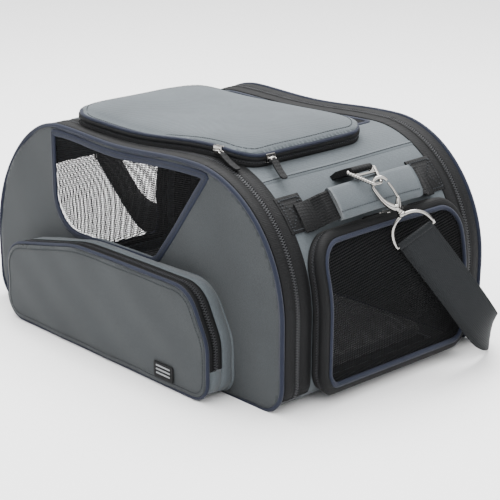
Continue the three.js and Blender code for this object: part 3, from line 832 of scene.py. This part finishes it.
def slider(name, forward, face):
    """forward is the way the zip runs, face the way the slider's bridge stands out."""
    low, high = box_mm(f"{name}_slider")
    centre = (low + high) / 2
    forward, face = unit(forward), unit(face)
    across = np.cross(face, forward)
    body = f"{name}_slider_body"
    plate = block(f"{name}_slider_plate", centre, forward * 5.6, across * 4.2, face * 1.0, "nickel", body)
    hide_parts(f"{name}_slider")
    block(f"{name}_slider_back", centre - face * 3.0, forward * 5.6, across * 4.2, face * 0.7, "nickel", body)
    block(f"{name}_slider_neck", centre + forward * 2.6 - face * 1.6, forward * 1.6, across * 1.3, face * 2.0,
          "nickel", body)
    arc = [centre + forward * (4.2 * math.cos(t)) + face * (0.8 + 3.0 * math.sin(t))
           for t in np.linspace(0, math.pi, 9)]
    tube(f"{name}_slider_bridge", arc, 0.9, "nickel", body)


def pull_tab(name, start, end, width_dir, body, sag, half=3.6, steps=13):
    start, end = np.array(start, float), np.array(end, float)
    width_dir = unit(width_dir)
    way = end - start
    lead = unit(way)
    up = np.cross(width_dir, lead)
    rows = []
    for t in np.linspace(0, 1, steps):
        middle = start + way * t + up * sag * math.sin(math.pi * t)
        wide = half * min(1, 0.55 + 3 * t, 0.7 + 3 * (1 - t))
        for a, b in ((-wide, -0.9), (wide, -0.9), (wide, 0.9), (-wide, 0.9)):
            rows.append(middle + width_dir * a + up * b)
    piece = eased(name, rows, quads(steps, 4) + caps(steps, 4), "webbing", body, 0.3)
    turn = np.linspace(0, 2 * math.pi, 12, endpoint=False)
    loop = [start - lead * 0.4 + lead * 2.4 * math.cos(t) + width_dir * 2.6 * math.sin(t) for t in turn]
    tube(f"{name}_loop", loop, 0.6, "nickel", body, closed=True)
    return piece


def zip_pulls():
    wall = np.array((0.791, 0, 0.611))
    plan = {
        "pocket": ((0, 0, 1), (-1, 0, 0), (-174, -163, 56), (-174, -163, 27), (0, 1, 0)),
        "flap_front": ((-1, 0, 0), (0, -1, 0), (123.6, -117.6, 228), (150, -120, 217), (0, 1, 0)),
        "flap_side": ((0, 1, 0), (1, 0, 0.2), (156.6, -81, 222), (178, -86.5, 208), (0.26, 0.97, 0)),
        "right_door_a": ((0, 1, 0), wall, (221.7, 0.4, 164.2), (221.7, -25, 164.2), (0.611, 0, -0.791)),
        "right_door_b": ((0, -1, 0), wall, (221.7, 35.6, 164.2), (221.7, 61, 164.2), (0.611, 0, -0.791)),
        "left_door": ((0, 1, 0), (-0.8, 0, 0.6), (-220.5, 0.4, 164.2), (-220.5, -25, 164.2), (0.6, 0, 0.8)),
    }
    for name, (forward, face, start, end, width_dir) in plan.items():
        slider(name, forward, face)
        sag = 0.6 if "door" in name else 1.2
        tab = pull_tab(f"{name}_pull_tab", start, end, width_dir, f"{name}_pull_body", sag)
        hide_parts(f"{name}_pull")


def strap_loop(name, side):
    low, high = box_mm(f"{name}_strap_loop")
    inner = low[0] if side > 0 else high[0]
    start = np.array((inner + side * 3, 0, 200.5))
    way = np.array((side * 0.924, 0, 0.383))
    up = np.array((-side * 0.383, 0, 0.924))
    profile = [(-16, -4.6), (4, -3.4), (20, -3.2), (26, -2.6), (28, 0), (26, 3.0), (20, 3.6), (4, 3.4),
               (-16, -2.4)]
    steps = 12
    rows = []
    for y in np.linspace(low[1], high[1], steps):
        rows += [start + way * a + up * b + np.array((0, y, 0)) for a, b in profile]
    faces = quads(steps, len(profile)) + caps(steps, len(profile))
    piece = eased(f"{name}_loop_webbing", rows, faces, "webbing", "shell", 0.8)
    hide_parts(f"{name}_strap_loop")


def lathe(name, foot, axis, outline, look, body, sides=20):
    """Turned metal: outline holds (distance along the axis, radius)."""
    axis = unit(axis)
    side = unit(np.cross(axis, (0, 0, 1.0)))
    other = np.cross(axis, side)
    turn = np.linspace(0, 2 * math.pi, sides, endpoint=False)
    spokes = [side * math.cos(t) + other * math.sin(t) for t in turn]
    rows = [foot + axis * a + spoke * r for a, r in outline for spoke in spokes]
    faces = quads(len(outline), sides) + caps(len(outline), sides)
    return make(name, rows, faces, look, body, soft=False)


def strap_metal(name, side, shift):
    """Triangular ring, snap hook with its gate, and the swivelling strap eye."""
    mirror = np.array((side, 1, 1.0))

    def spot(x, y, z, part=1.0):
        return np.array((side * x + part * shift, y, z), float)

    reach = np.array((0.93, 0, -0.368)) * mirror
    face = np.cross(reach, (0, 1.0, 0))
    seat = spot(203.7, -13, 209.2)
    on_ring = lambda y, r, off=0.0: seat + np.array((0, y, 0)) + reach * r + face * off
    frame_line = Track(rounded([(-19, 0, 2.5), (19, 0, 2.5), (5, 26, 2.2), (-5, 26, 2.2)], 5)).loop(1.2)
    ring_body, hook_body, gate_body = (f"{name}_{part}_body" for part in ("ring", "hook", "gate"))
    ring_points = [on_ring(*p) for p in frame_line]
    ring = tube(f"{name}_ring_wire", ring_points, 1.55, "nickel", ring_body, closed=True)
    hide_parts(f"{name}_ring")
    for row, sign in enumerate((-1, 1)):
        start, end = on_ring(sign * 18, 2), on_ring(sign * 6, 24)
        across = np.cross(unit(end - start), face)
        t = np.linspace(0, 1, 80)
        for strand in (0, math.pi):
            twist = 2 * math.pi * 5 * t + strand
            rope = [start + (end - start) * u + 1.25 * (across * math.cos(a) + face * math.sin(a)) for u, a in
                    zip(t, twist)]
            tube(f"{name}_ring_rope_{row}_{int(strand > 0)}", rope, 0.85, "nickel", ring_body)
    outer = Track(rounded([(-17.5, 1, 1), (17.5, 1, 1), (12.6, 10, 1.5), (-12.6, 10, 1.5)], 4))
    slot = Track(rounded([(-9, 3.6, 1.8), (9, 3.6, 1.8), (8, 7.4, 1.8), (-8, 7.4, 1.8)], 4))
    count = 72
    rim, hole = ([line.spot(line.length * k / count) for k in range(count)] for line in (outer, slot))
    edges = ((rim, 0.7), (hole, 0.7), (hole, -0.7), (rim, -0.7))
    rows = [on_ring(*p, off) for edge, off in edges for p in edge]
    eased(f"{name}_ring_plate", rows, quads(len(edges), count, closed=True), "nickel", ring_body, 0.2)

    # The hook: foot is by the ring's narrow end, and a and b run along and across the hook.
    foot = spot(227.4, -10.6, 199.3)
    axis = unit(np.array((0.482, 0.357, -0.8)) * mirror)
    wide = np.array((-0.315, -0.781, -0.539)) * mirror
    wide = unit(wide - axis * wide.dot(axis))
    hook_at = lambda a, b: foot + axis * a + wide * b
    turn = np.linspace(-0.5, 0.5, 15) * math.pi
    loop = [hook_at(2 - 7.5 * math.cos(t), 7.5 * math.sin(t)) for t in turn]
    loop += [hook_at(a, b) for a, b in ((8, 7.5), (14, 7.2), (19, 6.2), (23, 4.6), (26, 2.8), (29, 1.2))]
    wire = tube(f"{name}_hook_wire", loop, 1.9, "nickel", hook_body,
                taper=[0.85] * 3 + [1.0] * 12 + [1.05, 1.15, 1.35, 1.6, 1.75, 1.6])
    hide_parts(f"{name}_hook")
    shoulder = [hook_at(a, b) for a, b in ((21.5, -6.9), (23.5, -5.6), (26, -3.4), (29, -1.2))]
    tube(f"{name}_hook_shoulder", shoulder, 2.0, "nickel", hook_body, taper=[0.9, 1.2, 1.4, 1.4])
    collar = [(0, 1), (1.5, 3.6), (4, 3.9), (6, 2.6), (8, 2.4), (8.6, 3.4), (9.4, 3.4)]
    lathe(f"{name}_hook_collar", hook_at(25, 0), axis, collar, "nickel", hook_body)
    bar = [hook_at(4.2, -7.4), hook_at(12, -7.7), hook_at(21.5, -7.0)]
    gate = tube(f"{name}_gate_bar", bar, 1.35, "nickel", gate_body)
    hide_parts(f"{name}_hook_gate")
    pin = np.cross(axis, wide)
    rivet = [(0, 0.6), (0.4, 1.3), (4.8, 1.3), (5.2, 0.6)]
    lathe(f"{name}_gate_rivet", hook_at(21.5, -6.6) - pin * 2.6, pin, rivet, "nickel", gate_body, 12)

    # The eye: a closed bow, its crown at the barrel and its straight side in the strap's fold.
    centre = spot(*STRAP_RIGHT_END, 0.2)
    drop = centre - hook_at(38, 0)
    depth = np.linalg.norm(drop)
    drop /= depth
    span = np.array((0.437, 0.725, 0.524)) * mirror
    span = unit(span - drop * span.dot(drop))
    turn = np.linspace(0, math.pi, 33)
    bow = [centre - drop * depth * math.sin(t) ** 0.85 + span * 21.5 * math.cos(t) for t in turn]
    eye = tube(f"{name}_eye_wire", bow, 1.7, "nickel", f"{name}_eye_body", closed=True)
    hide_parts(f"{name}_strap_eye")
    barrel = [(0, 2.6), (0.6, 3.9), (2, 4.3), (3.4, 3.9), (4.6, 2.4)]
    lathe(f"{name}_eye_barrel", hook_at(34.6, 0), axis, barrel, "nickel", f"{name}_eye_body")
    fold = [centre + span * b for b in (-19.5, 19.5)]
    tube(f"{name}_strap_fold", fold, 3.3, "strap", "shell")


# ---- shoulder strap ----
def strap():
    """One webbing from the right eye, down behind the bag and up to the left eye."""
    right = np.array(STRAP_RIGHT_END)
    route = [
        right, (262, 43, 112), (272, 70, 75), (277, 90, 48), (274, 106, 32), (262, 130, 22), (236, 152, 21),
        (150, 170, 21), (0, 175, 21), (-150, 170, 21), (-236, 152, 21), (-262, 130, 22), (-272, 106, 32),
        (-275, 90, 48), (-270, 70, 75), (-260, 43, 112), STRAP_LEFT_END,
    ]
    route = np.array([np.array(p, float) for p in route])
    way = np.linalg.norm(np.diff(route, axis=0), axis=1)
    s = np.append(0, np.cumsum(way))
    fine = np.linspace(0, s[-1], 190)
    path = np.stack([np.interp(fine, s, route[:, k]) for k in range(3)], 1)
    for _ in range(10):
        path[1:-1] = (path[:-2] + 2 * path[1:-1] + path[2:]) / 4
    ahead = np.gradient(path, axis=0)
    ahead /= np.linalg.norm(ahead, axis=1)[:, None]

    # The drops face outward, and the stretch behind the bag stands on its edge.
    flat = np.clip((np.abs(np.linspace(-1, 1, len(path))) - 0.55) / 0.25, 0, 1)[:, None]
    flat = flat * flat * (3 - 2 * flat)
    mirror = np.where(np.arange(len(path)) < len(path) / 2, 1.0, -1.0)
    drop_way = np.stack([0.437 * mirror, 0.725 + 0 * mirror, 0.524 + 0 * mirror], 1)
    wide = flat * drop_way + (1 - flat) * np.array((0, 0, 1.0))
    wide -= ahead * (wide * ahead).sum(1)[:, None]
    wide /= np.linalg.norm(wide, axis=1)[:, None]
    face = np.cross(ahead, wide)
    section = [(-0.5, -0.5), (-0.25, -0.5), (0, -0.5), (0.25, -0.5), (0.5, -0.5),
               (0.5, 0.5), (0.25, 0.5), (0, 0.5), (-0.25, 0.5), (-0.5, 0.5)]
    rows = [path + wide * a * STRAP_WIDTH + face * b * STRAP_THICK for a, b in section]
    faces = quads(len(path), len(section)) + caps(len(path), len(section))
    piece = make("shoulder_strap", np.stack(rows, 1), faces, "strap", "shell", soft=False)
    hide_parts("strap_rear", "right_strap_drop", "left_strap_drop")


# ---- inside ----
def inner():
    low, high = box_mm("cushion")
    line = rounded_box(low, high, 18)
    top = high[2]

    def soft_top(x, y):
        rise = np.clip(1 - (x / high[0]) ** 4, 0, 1) * np.clip(1 - (y / high[1]) ** 4, 0, 1)
        return top - 5 + 5 * np.sqrt(rise) + 0.4 * np.sin(x / 9) * np.sin(y / 8)

    level = lambda x, y, off: np.stack(np.broadcast_arrays(x, y, off), -1)
    pad = cloth("cushion_top", line.loop(5), [], level, soft_top, 6, "fleece", "shell", 2)
    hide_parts("cushion")
    border = cord_section(-1.5, top - 7, 5.5, 10)
    strip("cushion_border", along(line, level), (0, line.length), border, "fleece", "shell")
    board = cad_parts["base_board"].data.materials
    board.clear()
    board.append(LOOK["board"])


# ---- setting ----
def stage():
    bpy.ops.mesh.primitive_plane_add(size=12, location=(0, 0, 0))
    floor = bpy.context.object
    floor.name = "floor"
    mat, _, _ = new_material("paper", PAPER, 0.9)
    floor.data.materials.append(mat)
    floor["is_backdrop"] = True
    world = bpy.context.scene.world or bpy.data.worlds.new("studio")
    bpy.context.scene.world = world
    world.use_nodes = True
    sky, links = world.node_tree.nodes, world.node_tree.links
    rise = sky.new("ShaderNodeSeparateXYZ")
    ramp = sky.new("ShaderNodeValToRGB")
    for stop, (height, color) in zip(ramp.color_ramp.elements, (LOW_SKY, HIGH_SKY)):
        stop.position = height
        stop.color = (*color, 1)
    links.new(sky.new("ShaderNodeTexCoord").outputs["Generated"], rise.inputs[0])
    links.new(rise.outputs["Z"], ramp.inputs[0])
    links.new(ramp.outputs[0], sky["Background"].inputs[0])
    sky["Background"].inputs[1].default_value = SKY_STRENGTH
    for name, place, size, power in LAMPS:
        light = bpy.data.lights.new(name, "AREA")
        light.size, light.energy = size, power
        lamp = bpy.data.objects.new(name, light)
        lamp.location = place
        lamp.rotation_euler = (Vector((0, 0, 0.1)) - Vector(place)).to_track_quat("-Z", "Y").to_euler()
        bpy.context.collection.objects.link(lamp)
    lens = bpy.data.cameras.new("camera")
    lens.sensor_fit = "HORIZONTAL"
    lens.angle = math.radians(CAMERA_ANGLE)
    camera = bpy.data.objects.new("camera", lens)
    camera.location = CAMERA_PLACE
    aim = Vector(CAMERA_AIM) - camera.location
    camera.rotation_euler = aim.to_track_quat("-Z", "Y").to_euler()
    bpy.context.collection.objects.link(camera)
    bpy.context.scene.camera = camera


gusset()
top_strip()
for side_name, side_sign in (("front", -1), ("rear", 1)):
    side_zip(side_name, side_sign)
    side_panel(side_name, side_sign)
pocket()
flap()
for end_name, end_sign in (("right", 1), ("left", -1)):
    end_door(end_name, end_sign)
    handle(end_name, end_sign)
    strap_loop(end_name, end_sign)
zip_pulls()
for end_name, end_sign, end_shift in (("right", 1, 0), ("left", -1, 9.9)):
    strap_metal(end_name, end_sign, end_shift)
strap()
inner()
stage()

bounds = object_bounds()
plain = lambda pair: [[float(v) for v in corner] for corner in pair]
{"cad": plain(cad_bounds), "scene": plain(bounds)}
